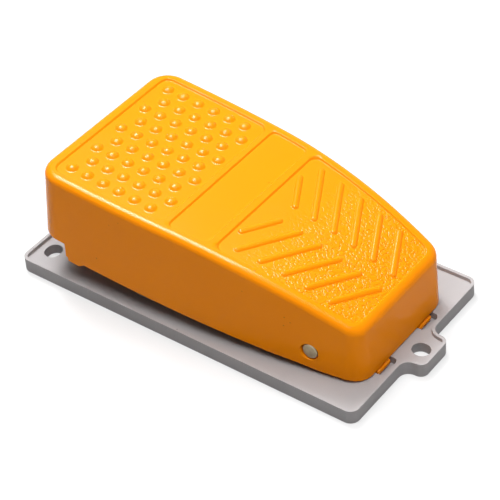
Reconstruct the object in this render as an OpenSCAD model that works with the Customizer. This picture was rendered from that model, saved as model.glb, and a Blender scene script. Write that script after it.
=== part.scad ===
// Industrial foot switch: a die-cast pedal hinged on a cast base, with a snap-action switch in a
// covered compartment below it. +X is the toe end with the tab, +Z is up, the origin is the centre
// of the plate's underside. The pedal is drawn fully pressed, when its deck is level, and is then
// tilted about the hinge pin to its rest position.

/* [Base plate] */
// Length of the plate without the toe tab
base_l = 170; // [160:1:180]
// Width of the plate
base_w = 92; // [90:1:98]
// Height of the rim round the plate
base_h = 6.5; // [6:0.1:8]
// Width of the rim
rim_w = 1.4; // [1:0.1:2.5]
// Depth of the plate's top face below the rim
rim_d = 1.7; // [1:0.1:2]
// Radius of the plate's corners
base_r = 4.2; // [3:0.1:8]
// How far the toe tab stands out from the plate
tab_l = 8.6; // [8:0.1:11]
// Half width of the toe tab
tab_half = 9.6; // [8:0.1:11]
// Half the width of the mounting slots
slot_r = 3.65; // [3:0.05:4]
// Length of the rear mounting slots from end to end
slot_l = 8.5; // [8:0.1:11]
// Length of the slot in the tab
tab_slot_l = 8; // [8:0.1:10]
// Distance of the two rear slots from each other
slot_pitch = 67.8; // [60:0.2:70]
// Distance of the rear slots from the plate's rear edge
slot_back = 8; // [7:0.5:10]

/* [Pedal] */
// Height of the deck's border above the underside of the base when pressed
deck_z = 46.4; // [44:0.1:50]
// Angle the pedal rests at above its pressed position
rest_tilt = 4.67; // [4:0.01:5]
// Half width of the deck at its widest, near the rear
half_w = 42; // [41:0.1:42]
// Rear face of the pedal
rear_x = -74; // [-75:0.5:-72]
// Toe edge of the deck
toe_x = 75.5; // [74:0.5:76]
// How far the toe face leans out between deck and skirt
toe_lean = 4.1; // [2:0.1:4.5]
// Radius of the deck's long curve towards the toe
deck_r = 274; // [260:1:400]
// Where that curve begins
deck_bend_x = -11.3; // [-14:0.1:-8]
// Widening of the side walls per millimetre of depth
draft = 0.032; // [0:0.001:0.04]
// Radius of the edge round the deck
edge_r = 3; // [2:0.1:4]
// Thickness of the side walls
wall = 2.6; // [2:0.1:3]
// Thickness of the deck under its sunk panels
deck_t = 2.6; // [2:0.1:3.5]
// Depth of the sunk panels
panel_d = 0.8; // [0.4:0.1:1.2]
// Width of the border beside the panels
border = 4.8; // [4:0.1:6]

/* [Tread] */
// Rows of domes across the pedal
dome_rows = 9; // [3:1:9]
// Domes in each row
dome_cols = 6; // [3:1:6]
// Distance between domes along a row
dome_pitch = 8.1; // [7:0.1:8.1]
// Diameter of a dome where it leaves the deck
dome_d = 5.2; // [4:0.1:6]
// Height of a dome
dome_h = 1.3; // [0.8:0.1:1.6]
// Bars on each side of the chevron
bar_count = 6; // [3:1:6]
// Half the thickness of a bar
bar_r = 1.3; // [1:0.1:1.5]

/* [Hinge and stops] */
// Distance of the hinge pin from the centre of the plate
pivot_x = 56.5; // [55:0.5:58]
// Height of the hinge pin
pivot_z = 15.3; // [14.5:0.1:16]
// Diameter of the hinge pin
pin_d = 7; // [6:0.1:7.5]
// Clearance of the pin in its bushes, on the radius
pin_gap = 0.05; // [0.02:0.01:0.1]
// Lower edge of the skirt when pressed
skirt_z = 7; // [6.8:0.1:8]

/* [Switch compartment] */
// Rear face of the compartment
box_x0 = -34; // [-36:1:-32]
// Toe face of the compartment
box_x1 = 40; // [36:1:40]
// Half width of the compartment at its rear face
box_half0 = 36; // [30:1:36]
// Half width of the compartment at its toe face
box_half1 = 31; // [27:1:31]
// Height of the compartment's walls
box_h = 29.7; // [29:0.1:30]
// Height of the cable gland's axis
gland_z = 17.5; // [17:0.1:19]

/* [Return springs] */
// Place of the springs along the base
spring_x = -50; // [-54:1:-48]
// Distance of each spring from the centre line
spring_y = 25; // [24:1:28]
// Outer diameter of a spring
spring_d = 14; // [12:0.5:15]
// Diameter of the spring wire
wire_d = 1.8; // [1.4:0.1:2]
// Working turns of a spring
spring_turns = 6; // [5:1:8]

/* [Hidden] */

$fn = 48;
amber = "#fdb813";
paint_grey = "#9c9a9b";
zinc = "#c9c2a6";

floor_z = base_h - rim_d;
rear_slot_x = -base_l / 2 + slot_back;
tab_slot_x = base_l / 2 + 1.5;

// Toe pockets in the plate, and the lugs of the pedal that rest in them
pocket_x0 = 74;
pocket_x1 = 82;
pocket_y0 = 9.8;
pocket_y1 = 20.8;
pocket_z = 1.5;
lug_z = 3.8;

// Pedestals of the hinge
pedestal_y0 = 18;
pedestal_y1 = 27;
pedestal_r = 8;
bush_r = 5;
washer_t = 0.8;
clip_t = 1;
hub_y = 28.2;
pin_end_y = 32.9;
counterbore_r = 4.2;

// Compartment
box_wall = 3;
box_floor = 4;
box_r = 6;
gasket_t = 0.8;
cover_t = 1.5;
cover_z = box_h + gasket_t;
screw_d = 4;
screw_boss_r = 4;
box_screws = [for (s = [-1, 1]) each [
    [box_x0 + 5.6, s * (box_half0 - 6)],
    [box_x1 - 5.6, s * (box_half1 - 6)]
]];
window = [[11, -6], [25, 6]];

// Snap-action switch of the miniature size, 27.8 x 10.3 x 15.9 mm
case_l = 27.8;
case_w = 10.3;
case_h = 15.9;
case_x = -6;
case_z = 10;
side_t = 1.2;
hinge_x = case_x + 2.8;
lever_z = 27.8;
lever_rest = 5.3;
lever_l = 24;
lever_t = 0.5;
plunger_x = hinge_x + 7.5;
plunger_top = 28.04;
plunger_r = 1.42;
mount_holes = [[case_x + 2.8, case_z + 13], [case_x + 25, case_z + 2.8]];
bracket_t = 1.5;
bracket_feet = [0, 16];
bracket_y = 13;

// Actuator screw under the deck, in the pedal's own frame
push_x = 17;
push_tip = 27.62;
push_boss_z = 36;
push_top = 41.2;

// Earth screw in the compartment, on a boss of its own
earth_at = [-20, 20];
earth_boss_z = 7;
earth_washer_t = 0.8;

// Gland
gland_bore = 4.8;
gland_thread = 8;

// Spring seats: a boss on the plate and a spigot under the deck
spring_top = 49.5;
seat_boss_r = 4.2;
seat_boss_h = 6;

// ---- Outlines -----------------------------------------------------------------------------------

function arc(cx, cy, r, a0, a1, n) = [for (i = [0:n])
    let (a = a0 + (a1 - a0) * i / n) [cx + r * cos(a), cy + r * sin(a)]
];

function mirrored(half) = concat(half, [for (i = [len(half) - 1:-1:0]) [half[i][0], -half[i][1]]]);

// Plate with its toe tab, drawn in by a distance
function plate_outline(inset) = let (
    x = base_l / 2, y = base_w / 2, root = 4.5, nose = 3.5,
    corner = base_r - inset
) mirrored(concat(
    arc(-x + base_r, y - base_r, corner, 180, 90, 8),
    arc(x - base_r, y - base_r, corner, 90, 0, 8),
    arc(x + root, tab_half + root, root + inset, 180, 270, 8),
    arc(x + tab_l - nose, tab_half - nose, nose - inset, 90, 0, 6)
));

// Compartment, a rounded box that narrows towards the toe
function box_outline(inset, r) = let (
    lean = atan((box_half0 - box_half1) / (box_x1 - box_x0)), c = max(r - inset, 0.5)
) mirrored(concat(
    arc(box_x0 + inset + c, box_half0 - inset - c, c, 180, 90 - lean, 6),
    arc(box_x1 - inset - c, box_half1 - inset - c, c, 90 - lean, 0, 6)
));

// Half width of the deck: a wide flat curve at the rear that tightens towards the toe
waist_x = -3;
rear_curve = 880;
toe_curve = 606;
waist_w = half_w - (waist_x + 62) * (waist_x + 62) / 2 / rear_curve;
waist_slope = (waist_x + 62) / rear_curve;
function deck_half(x) = x < -62 ? half_w
    : x < waist_x ? half_w - (x + 62) * (x + 62) / 2 / rear_curve
    : let (d = x - waist_x) waist_w - waist_slope * d - d * d / 2 / toe_curve;

// Height of the deck's border
function deck(x) = x < deck_bend_x ? deck_z
    : deck_z - deck_r + sqrt(deck_r * deck_r - (x - deck_bend_x) * (x - deck_bend_x));

toe_angle = 79;

// Half outline from the rear face round to the toe face, moved out by grow
function pedal_half(x0, x1, grow, r0, r1, n = 18) = let (
    xe = x1 - r1 + r1 * cos(toe_angle),
    xs = x0 + r0,
    yc0 = deck_half(xs) + grow - r0,
    yc1 = deck_half(xe) + grow - r1 * sin(toe_angle)
) concat(
    arc(xs, yc0, r0, 180, 90, 7),
    [for (i = [1:n - 1]) let (x = xs + (xe - xs) * i / n) [x, deck_half(x) + grow]],
    arc(x1 - r1, yc1, r1, toe_angle, 0, 8)
);

// ---- Lofts --------------------------------------------------------------------------------------

// A solid through closed loops of equal length. The loops are mirrored about the XZ plane, so both
// ends close with flat strips from one side to the other.
module loft(loops) {
    n = len(loops[0]);
    m = n / 2;
    last = (len(loops) - 1) * n;
    sides = [for (k = [0:len(loops) - 2], i = [0:n - 1]) let (
        a = k * n + i, b = k * n + (i + 1) % n
    ) each [[a, b + n, a + n], [a, b, b + n]]];
    lower = [for (i = [0:m - 2]) [n - 1 - i, n - 2 - i, i + 1, i]];
    upper = [for (i = [0:m - 2]) [last + i, last + i + 1, last + n - 2 - i, last + n - 1 - i]];
    polyhedron([for (loop = loops, p = loop) p], concat(sides, lower, upper));
}

function unit(v) = v / norm(v);

// Pushes a loop's points in along their normals by d
function drawn_in(loop, d) = let (n = len(loop)) [for (i = [0:n - 1]) let (
    t = unit([for (k = [0, 1]) loop[(i + 1) % n][k] - loop[(i + n - 1) % n][k]])
) [loop[i][0] + t[1] * d, loop[i][1] - t[0] * d]];

// Body between the plane z = low and a deck set down by drop, with drafted walls inset by gap and
// its upper edge rounded by r
module pedal_body(low, drop, gap, r, steps) {
    grow = draft * (deck_z - low) - gap;
    head = pedal_half(rear_x + gap, toe_x - gap, -gap, 7 - gap, 7 - gap);
    foot = pedal_half(rear_x + gap, toe_x + toe_lean - gap, grow, 7 - gap, 11 - gap);
    top = [for (p = mirrored(head)) [p[0], p[1]]];
    base = mirrored(foot);
    wall_top = [for (i = [0:len(top) - 1]) let (
        z = deck(top[i][0]) - drop - r, f = (deck(top[i][0]) - z) / (deck(top[i][0]) - skirt_z)
    ) top[i] + (base[i] - top[i]) * f];
    rings = [for (s = [1:steps]) let (
        a = 90 * s / steps, ring = drawn_in(wall_top, r * (1 - cos(a)))
    ) [for (p = ring) [p[0], p[1], deck(p[0]) - drop - r * (1 - sin(a))]]];
    loft(concat(
        [[for (p = base) [p[0], p[1], low]]],
        [[for (p = wall_top) [p[0], p[1], deck(p[0]) - drop - r]]],
        rings
    ));
}

// A sunk panel between two places along the deck
module panel_cut(x0, x1, r) {
    half = pedal_half(x0, x1, -border, r, r, 12);
    loop = mirrored(half);
    loft([
        [for (p = loop) [p[0], p[1], deck(p[0]) - panel_d]],
        [for (p = loop) [p[0], p[1], deck(p[0]) + 5]]
    ]);
}

// ---- Small parts --------------------------------------------------------------------------------

module along_y(x, z, y0, y1, r) translate([x, y1, z]) rotate([90, 0, 0]) cylinder(h = y1 - y0, r = r);

module along_x(y, z, x0, x1, r) translate([x0, y, z]) rotate([0, 90, 0]) cylinder(h = x1 - x0, r = r);

module both_sides() { children(); mirror([0, 1, 0]) children(); }

// From the pressed position to rest
module at_rest() translate([pivot_x, 0, pivot_z]) rotate([0, rest_tilt, 0])
    translate([-pivot_x, 0, -pivot_z]) children();

// Slot through the plate, along X
module slot(long) {
    run = long / 2 - slot_r;
    for (s = [-1, 1]) translate([s * run, 0, -1]) cylinder(h = base_h + 2, r = slot_r);
    translate([-run, -slot_r, -1]) cube([2 * run, 2 * slot_r, base_h + 2]);
}

// Pan-head screw pointing down, with its head's seat at z = 0 and a cross recess
module pan_screw(d, shank) difference() {
    union() {
        translate([0, 0, -shank]) cylinder(h = shank + 0.4, d = d);
        cylinder(h = 0.4 * d, d = 2 * d);
        translate([0, 0, 0.4 * d]) cylinder(h = 0.22 * d, d1 = 2 * d, d2 = 1.3 * d);
    }
    for (a = [0, 90]) rotate([0, 0, a]) translate([-0.5 * d, -0.1 * d, 0.3 * d]) cube([d, 0.2 * d, d]);
}

module hex(across, h) cylinder(h = h, r = across / sqrt(3), $fn = 6);

// ---- Base ---------------------------------------------------------------------------------------

module pedestal() {
    foot = 9;
    difference() {
        union() {
            along_y(pivot_x, pivot_z, pedestal_y0, pedestal_y1, pedestal_r);
            translate([pivot_x - foot, pedestal_y0, floor_z - 1])
                cube([2 * foot, pedestal_y1 - pedestal_y0, 5]);
            translate([pivot_x - pedestal_r + 0.6, pedestal_y0, floor_z - 1])
                cube([2 * pedestal_r - 1.2, pedestal_y1 - pedestal_y0, pivot_z - floor_z + 1]);
            // web that stays the pedestal against the compartment
            translate([box_x1 - 1, (pedestal_y0 + pedestal_y1) / 2 - 1.5, floor_z - 1])
                cube([pivot_x - box_x1 - 5, 3, pivot_z - floor_z + 1]);
        }
        along_y(pivot_x, pivot_z, pedestal_y0 - 1, pedestal_y1 + 1, bush_r);
    }
}

module toe_pocket() {
    r = 2;
    translate([pocket_x0, pocket_y0, pocket_z]) {
        translate([0, r, 0]) cube([pocket_x1 - pocket_x0, pocket_y1 - pocket_y0 - 2 * r, base_h]);
        cube([pocket_x1 - pocket_x0 - r, pocket_y1 - pocket_y0, base_h]);
        for (y = [r, pocket_y1 - pocket_y0 - r]) translate([pocket_x1 - pocket_x0 - r, y, 0])
            cylinder(h = base_h, r = r);
    }
}

module base_casting() color(paint_grey) {
    difference() {
        union() {
            difference() {
                linear_extrude(base_h) polygon(plate_outline(0));
                translate([0, 0, floor_z]) linear_extrude(base_h) polygon(plate_outline(rim_w));
            }
            linear_extrude(box_h) polygon(box_outline(0, box_r));
            both_sides() translate([spring_x, spring_y, floor_z - 1])
                cylinder(h = seat_boss_h + 1, r = seat_boss_r);
        }
        difference() {
            translate([0, 0, box_floor]) linear_extrude(box_h) polygon(box_outline(box_wall, box_r));
            for (p = box_screws) translate([p[0], p[1], 0]) cylinder(h = box_h, r = screw_boss_r);
            translate([earth_at[0], earth_at[1], 0]) cylinder(h = earth_boss_z, r = 4.5);
        }
        for (p = box_screws) translate([p[0], p[1], box_h - 12]) cylinder(h = 13, d = screw_d);
        translate([earth_at[0], earth_at[1], 1.5]) cylinder(h = 10, d = screw_d);
        for (x = bracket_feet) translate([x, bracket_y, 1]) cylinder(h = 10, d = screw_d);
        along_x(0, gland_z, box_x0 - 1, box_x0 + box_wall + 1, gland_thread + 0.1);
        both_sides() translate([rear_slot_x, slot_pitch / 2, 0]) rotate([0, 0, 90]) slot(slot_l);
        translate([tab_slot_x, 0, 0]) slot(tab_slot_l);
        both_sides() toe_pocket();
    }
    both_sides() pedestal();
}

module hinge_bushes() color("#b08d4f") both_sides() difference() {
    along_y(pivot_x, pivot_z, pedestal_y0, pedestal_y1, bush_r);
    along_y(pivot_x, pivot_z, pedestal_y0 - 1, pedestal_y1 + 1, pin_d / 2 + pin_gap);
}

module cover_plate(z, t) difference() {
    translate([0, 0, z]) linear_extrude(t) polygon(box_outline(0.4, box_r));
    for (p = box_screws) translate([p[0], p[1], z - 1]) cylinder(h = t + 2, r = screw_d / 2 + 0.2);
}

module compartment_gasket() color("#222222") difference() {
    cover_plate(box_h, gasket_t);
    difference() {
        translate([0, 0, box_h - 1]) linear_extrude(3) polygon(box_outline(box_wall, box_r));
        for (p = box_screws) translate([p[0], p[1], box_h - 2]) cylinder(h = 6, r = screw_boss_r);
    }
}

module compartment_cover() color("#b9bcc0") difference() {
    cover_plate(cover_z, cover_t);
    translate([window[0][0], window[0][1], cover_z - 1])
        cube([window[1][0] - window[0][0], window[1][1] - window[0][1], cover_t + 2]);
}

module cover_screws() color(zinc) for (p = box_screws)
    translate([p[0], p[1], cover_z + cover_t]) pan_screw(screw_d, 12);

// ---- Snap-action switch -------------------------------------------------------------------------

module switch_bracket() color("#b9bcc0") difference() {
    union() {
        translate([case_x - 2, case_w / 2, box_floor]) cube([case_l + 2, bracket_t, case_z + 14 - box_floor]);
        translate([case_x - 2, case_w / 2, box_floor]) cube([case_l + 2, 12.5, bracket_t]);
    }
    for (h = mount_holes) along_y(h[0], h[1], 0, 12, 1.55);
    for (x = bracket_feet) translate([x, bracket_y, 0]) cylinder(h = 10, r = 2.1);
}

module bracket_screws() color(zinc) for (x = bracket_feet)
    translate([x, bracket_y, box_floor + bracket_t]) pan_screw(screw_d, 4);

module switch_block(y0, y1) difference() {
    translate([case_x, y0, case_z]) cube([case_l, y1 - y0, case_h]);
    for (h = mount_holes) along_y(h[0], h[1], y0 - 1, y1 + 1, 1.55);
}

module switch_case() color("#2a2a2c") {
    difference() {
        switch_block(-case_w / 2 + side_t, case_w / 2);
        translate([plunger_x, 0, case_z + 8]) cylinder(h = case_h, r = plunger_r + 0.08);
    }
    for (s = [-1, 1]) difference() {
        translate([hinge_x - 1.8, s * 3.4 - 0.5, case_z + case_h - 1])
            cube([3.6, 1, lever_z - case_z - case_h + 2.6]);
        along_y(hinge_x, lever_z, s * 3.4 - 2, s * 3.4 + 2, 0.7);
    }
}

module switch_cover() color("#3a3a3d") switch_block(-case_w / 2, -case_w / 2 + side_t);

module switch_screws() color(zinc) for (h = mount_holes)
    translate([h[0], -case_w / 2, h[1]]) rotate([90, 0, 0]) pan_screw(3, case_w + 5.5);

module switch_nuts() color(zinc) for (h = mount_holes) difference() {
    translate([h[0], case_w / 2 + bracket_t + 2.4, h[1]]) rotate([90, 0, 0]) hex(5.5, 2.4);
    along_y(h[0], h[1], 0, 20, 1.5);
}

module switch_terminals() color("#c8a450") for (x = [3, 14, 24.8])
    translate([case_x + x, 0, 0]) difference() {
        translate([-0.4, -2.4, case_z - 5.4]) cube([0.8, 4.8, 5.4]);
        along_x(0, case_z - 3.4, -2, 2, 0.8);
    }

module lever_pin() color(zinc) along_y(hinge_x, lever_z, -4.2, 4.2, 0.7);

module switch_lever() color("#d4d6d8")
    translate([hinge_x, 0, lever_z]) rotate([0, -lever_rest, 0]) difference() {
        union() {
            along_y(0, 0, -2.5, 2.5, 1.3);
            translate([0.4, -2.5, 0]) cube([lever_l - 0.4, 5, lever_t]);
        }
        along_y(0, 0, -3, 3, 0.75);
    }

module switch_plunger() color("#b5482a") translate([plunger_x, 0, case_z + 10])
    cylinder(h = plunger_top - case_z - 10, r = plunger_r);

module earth_washer() color("#c8a450") translate([earth_at[0], earth_at[1], earth_boss_z]) difference() {
    cylinder(h = earth_washer_t, r = 4.4);
    translate([0, 0, -1]) cylinder(h = 3, r = screw_d / 2 + 0.1);
}

module earth_screw() color("#5d9a52")
    translate([earth_at[0], earth_at[1], earth_boss_z + earth_washer_t]) pan_screw(screw_d, 6);

// ---- Cable gland --------------------------------------------------------------------------------

module gland_body() color("#2b2c2f") difference() {
    union() {
        translate([box_x0 - 4, 0, gland_z]) rotate([0, 90, 0]) hex(20, 4);
        along_x(0, gland_z, box_x0 - 1, box_x0 + 8, gland_thread);
        along_x(0, gland_z, box_x0 - 11, box_x0 - 3, gland_thread - 0.4);
    }
    along_x(0, gland_z, box_x0 - 12, box_x0 + 9, gland_bore);
    along_x(0, gland_z, box_x0 - 12, box_x0 - 6, 6.4);
}

module gland_locknut() color("#2b2c2f") difference() {
    translate([box_x0 + box_wall, 0, gland_z]) rotate([0, 90, 0]) hex(20, 4);
    along_x(0, gland_z, box_x0, box_x0 + 12, gland_thread);
}

module gland_seal() color("#161616") difference() {
    along_x(0, gland_z, box_x0 - 12.5, box_x0 - 6, 6.3);
    along_x(0, gland_z, box_x0 - 13, box_x0 - 5, gland_bore - 0.2);
}

module gland_cap() color("#2b2c2f") difference() {
    union() {
        along_x(0, gland_z, box_x0 - 14, box_x0 - 4.5, 9.8);
        translate([box_x0 - 14, 0, gland_z]) rotate([0, -90, 0]) cylinder(h = 3, r1 = 9.8, r2 = 7);
        translate([box_x0 - 10.5, 0, gland_z]) rotate([0, 90, 0]) hex(19, 6);
    }
    along_x(0, gland_z, box_x0 - 18, box_x0, gland_bore);
    along_x(0, gland_z, box_x0 - 12.5, box_x0, gland_thread - 0.35);
}

// ---- Return springs -----------------------------------------------------------------------------

// Height along the wire for a coil with one closed turn at each end
function coil_rise(t, turns, free) = let (dead = 1, span = turns + 2 * dead)
    t < dead ? wire_d * t
    : t > span - dead ? free - wire_d * (span - t)
    : wire_d * dead + (free - 2 * wire_d * dead) * (t - dead) / turns;

module coil(turns, free, r) {
    per_turn = 16;
    sides = 8;
    total = turns + 2;
    n = total * per_turn;
    points = [for (i = [0:n], j = [0:sides - 1]) let (
        t = i / per_turn, a = 360 * t, b = 360 * j / sides, reach = r + wire_d / 2 * cos(b)
    ) [reach * cos(a), reach * sin(a), coil_rise(t, turns, free) + wire_d / 2 * sin(b)]];
    skin = [for (i = [0:n - 1], j = [0:sides - 1]) let (
        a = i * sides + j, b = i * sides + (j + 1) % sides
    ) each [[a, b, b + sides], [a, b + sides, a + sides]]];
    ends = [[for (j = [sides - 1:-1:0]) j], [for (j = [0:sides - 1]) n * sides + j]];
    polyhedron(points, concat(skin, ends));
}

module return_springs() color("#b8bcc2") both_sides()
    translate([spring_x, spring_y, floor_z + wire_d / 2])
        coil(spring_turns, spring_top - floor_z - wire_d, (spring_d - wire_d) / 2);

// ---- Pedal --------------------------------------------------------------------------------------

dome_x0 = -63.7;
dome_row_pitch = 7.9;
bar_step = 9.85;

module domes() {
    ball = (dome_d * dome_d / 4 + dome_h * dome_h) / 2 / dome_h;
    for (row = [0:dome_rows - 1], col = [0:dome_cols - 1]) translate([
        dome_x0 + dome_pitch * (col + (row % 2) / 2),
        dome_row_pitch * ((dome_rows - 1) / 2 - row),
        deck_z - panel_d + dome_h - ball
    ]) sphere(ball);
}

// One bar with round ends, half sunk in the panel
module bar(outer, inner) {
    a = [outer[0], outer[1], deck(outer[0]) - panel_d - 0.45];
    b = [inner[0], inner[1], deck(inner[0]) - panel_d - 0.45];
    v = b - a;
    translate(a) rotate([0, acos(v[2] / norm(v)), atan2(v[1], v[0])]) rotate_extrude() intersection() {
        union() {
            square([bar_r, norm(v)]);
            circle(bar_r);
            translate([0, norm(v)]) circle(bar_r);
        }
        translate([0, -bar_r]) square([bar_r, norm(v) + 2 * bar_r]);
    }
}

// The first bar of each side is a short one that fills the corner of the panel
module bars() both_sides() for (i = [0:bar_count - 1]) {
    inner = [21.4 + bar_step * i, 4.4];
    outer = i == 0 ? [13, 20] : [18.2 + (bar_step + 0.5) * (i - 1), 29.8 - 1.15 * (i - 1)];
    bar(outer, inner);
}

// Cuts that leave the stop pads, clear the mounting screws and let the cable out
module skirt_cuts() {
    pad_x0 = -58.6;
    pad_x1 = -50.5;
    relief_x = -60;
    far = 100;
    translate([pad_x1, -far, skirt_z]) rotate([0, 50, 0]) translate([0, 0, -far]) cube([far, 2 * far, far]);
    translate([pad_x1, -far, skirt_z - far]) cube([2 * far, 2 * far, far]);
    translate([pad_x0 - far, -far, skirt_z - far]) cube([far, 2 * far, far]);
    both_sides() translate([relief_x - far, 24, 13.5 - far]) cube([far, far, far]);
    translate([-far, -12, -far]) cube([far - 68, 24, far + 22]);
    along_x(0, 22, -far, -68, 12);
}

// Lugs that hang from the toe wall into the pockets of the base
module toe_lugs() both_sides() {
    translate([76.3, 10.6, lug_z]) cube([2.4, 9, 5]);
    translate([76.3, 10.6, lug_z]) cube([4.8, 9, skirt_z - lug_z - 0.3]);
}

module pedal_shell() difference() {
    union() {
        difference() {
            pedal_body(5.1, 0, 0, edge_r, 5);
            panel_cut(-69.4, -14.6, 4);
            panel_cut(-11.6, 6.7, 2.6);
            panel_cut(10.2, 72.4, 4);
        }
        domes();
        bars();
    }
    pedal_body(-5, panel_d + deck_t, wall, 1.5, 2);
    skirt_cuts();
}

module pedal_ribs() {
    rib_t = 1.8;
    for (y = [-14, 14]) translate([-66, y - rib_t / 2, deck_z - panel_d - deck_t - 3.5])
        cube([60, rib_t, 4.5]);
    for (x = [-36, -10]) translate([x, -36, deck_z - panel_d - deck_t - 2.5]) cube([rib_t, 72, 3.5]);
}

module pedal_casting() color(amber) difference() {
    union() {
        at_rest() {
            pedal_shell();
            pedal_ribs();
            toe_lugs();
            translate([push_x, 0, push_boss_z]) cylinder(h = 6.5, r = 5.5);
        }
        both_sides() along_y(pivot_x, pivot_z, hub_y, 33, 6.5);
        both_sides() translate([spring_x, spring_y, spring_top]) cylinder(h = 3, r = 8.5);
        both_sides() translate([spring_x, spring_y, spring_top - 3]) cylinder(h = 4, r = 2.9);
    }
    along_y(pivot_x, pivot_z, -60, 60, pin_d / 2);
    both_sides() along_y(pivot_x, pivot_z, pin_end_y - 0.6, 60, counterbore_r);
    at_rest() translate([push_x, 0, push_boss_z - 1]) cylinder(h = push_top + 1.3 - push_boss_z, d = 5);
}

module hinge_pin() color(zinc) {
    chamfer = 0.7;
    groove = pedestal_y0 - 0.3 - clip_t;
    difference() {
        along_y(pivot_x, pivot_z, -pin_end_y + chamfer, pin_end_y - chamfer, pin_d / 2);
        both_sides() difference() {
            along_y(pivot_x, pivot_z, groove, groove + clip_t, pin_d);
            along_y(pivot_x, pivot_z, groove - 1, groove + clip_t + 1, pin_d / 2 - 1);
        }
    }
    both_sides() translate([pivot_x, pin_end_y - chamfer, pivot_z]) rotate([-90, 0, 0])
        cylinder(h = chamfer, r1 = pin_d / 2, r2 = pin_d / 2 - chamfer);
}

module pin_clips() color("#55575a") both_sides() difference() {
    y = pedestal_y0 - 0.3 - clip_t;
    along_y(pivot_x, pivot_z, y + 0.05, y + clip_t - 0.05, pin_d / 2 + 2.2);
    along_y(pivot_x, pivot_z, y - 1, y + 2, pin_d / 2 - 1);
    translate([pivot_x - 1.6, y - 1, pivot_z - 10]) cube([3.2, 4, 10]);
}

module thrust_washers() color("#e8e6df") both_sides() difference() {
    y = (pedestal_y1 + hub_y - washer_t) / 2;
    along_y(pivot_x, pivot_z, y, y + washer_t, 6.4);
    along_y(pivot_x, pivot_z, y - 1, y + 2, pin_d / 2 + 0.05);
}

module actuator_screw() color(zinc) at_rest() translate([push_x, 0, push_tip]) {
    translate([0, 0, 1]) cylinder(h = push_top - push_tip - 1, d = 5);
    cylinder(h = 1, r1 = 1.2, r2 = 2.5);
}

module actuator_locknut() color(zinc) at_rest() translate([push_x, 0, push_boss_z - 3.2]) difference() {
    hex(8, 3.2);
    translate([0, 0, -1]) cylinder(h = 6, d = 5);
}

base_casting();
hinge_bushes();
compartment_gasket();
compartment_cover();
cover_screws();
switch_bracket();
bracket_screws();
switch_case();
switch_cover();
switch_screws();
switch_nuts();
switch_terminals();
lever_pin();
earth_washer();
earth_screw();
gland_body();
gland_locknut();
gland_seal();
gland_cap();
return_springs();
pedal_casting();
hinge_pin();
pin_clips();
thrust_washers();
actuator_screw();
actuator_locknut();
switch_lever();
switch_plunger();
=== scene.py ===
"""Industrial foot switch: an amber cast pedal on a grey cast base, with its switch, springs and gland."""

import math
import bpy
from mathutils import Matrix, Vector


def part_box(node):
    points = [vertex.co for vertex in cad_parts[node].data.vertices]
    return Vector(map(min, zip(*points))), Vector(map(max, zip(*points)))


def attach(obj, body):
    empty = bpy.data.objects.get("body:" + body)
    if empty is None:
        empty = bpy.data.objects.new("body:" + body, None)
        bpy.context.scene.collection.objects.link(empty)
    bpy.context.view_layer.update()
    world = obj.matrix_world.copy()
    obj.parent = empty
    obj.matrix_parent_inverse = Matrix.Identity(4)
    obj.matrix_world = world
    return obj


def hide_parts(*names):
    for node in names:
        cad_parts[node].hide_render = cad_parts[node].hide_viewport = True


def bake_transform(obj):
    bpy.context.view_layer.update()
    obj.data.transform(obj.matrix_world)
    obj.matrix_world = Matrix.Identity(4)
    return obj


bl_info = {
    "name": "Industrial foot switch",
    "version": (1, 0, 0),
    "blender": (4, 5, 0),
    "location": "View3D > Sidebar > Foot Switch",
    "description": "Builds the pedal, base, springs, hardware and finishes of an industrial foot switch",
    "category": "Object",
}

from types import SimpleNamespace

import bmesh
import bpy
import numpy as np
from mathutils import Matrix, Vector
from mathutils.geometry import delaunay_2d_cdt
from mathutils.kdtree import KDTree

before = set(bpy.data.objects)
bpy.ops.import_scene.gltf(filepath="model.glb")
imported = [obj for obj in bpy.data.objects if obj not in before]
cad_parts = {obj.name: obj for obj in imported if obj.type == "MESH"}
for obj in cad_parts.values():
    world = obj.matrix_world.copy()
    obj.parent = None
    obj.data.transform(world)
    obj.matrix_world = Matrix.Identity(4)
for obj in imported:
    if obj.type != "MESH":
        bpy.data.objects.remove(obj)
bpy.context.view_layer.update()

MM = 0.001

# The hinge pin, in millimetres
pin_low, pin_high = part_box("hinge_pin")
PIVOT_X = (pin_low.x + pin_high.x) / 2 / MM
PIVOT_Z = (pin_low.z + pin_high.z) / 2 / MM
PIN_END = pin_high.y / MM
PIN_D = (pin_high.z - pin_low.z) / MM

# The pedal is drawn pressed, with the rear of its deck level, and is then tilted back by this angle
REST_TILT = math.radians(4.67)


# ---- Shape of the pressed pedal, in millimetres ----

# Deck: the height of its level part, and where and how tightly it bends down towards the toe
DECK_Z, DECK_BEND_X, DECK_R = 46.4, -11.3, 274.0
DECK_T = 2.6

# Outline of the deck: its ends, its widest half width, and the curves of its sides
REAR_X, TOE_X = -74.8, 75.5
HALF_W, SHOULDER_X, WAIST_X = 42.3, -62.0, -3.0
REAR_CURVE, TOE_CURVE = 880.0, 606.0
REAR_R, TOE_R, TOE_FOOT_R, TOE_TURN = 10.2, 7.0, 9.5, 79.0

# Wall: its thickness, how far it spreads towards its foot, the rounding where it meets the deck, and how
# far below and inside that its inner face turns into the underside
WALL, DRAFT, TOE_LEAN = 2.6, 0.032, 4.1
EDGE_R, EDGE_STEPS, WALL_ROWS = 3.2, 8, 16
INNER_DROP, INNER_TURN = 4, 1.5

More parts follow.
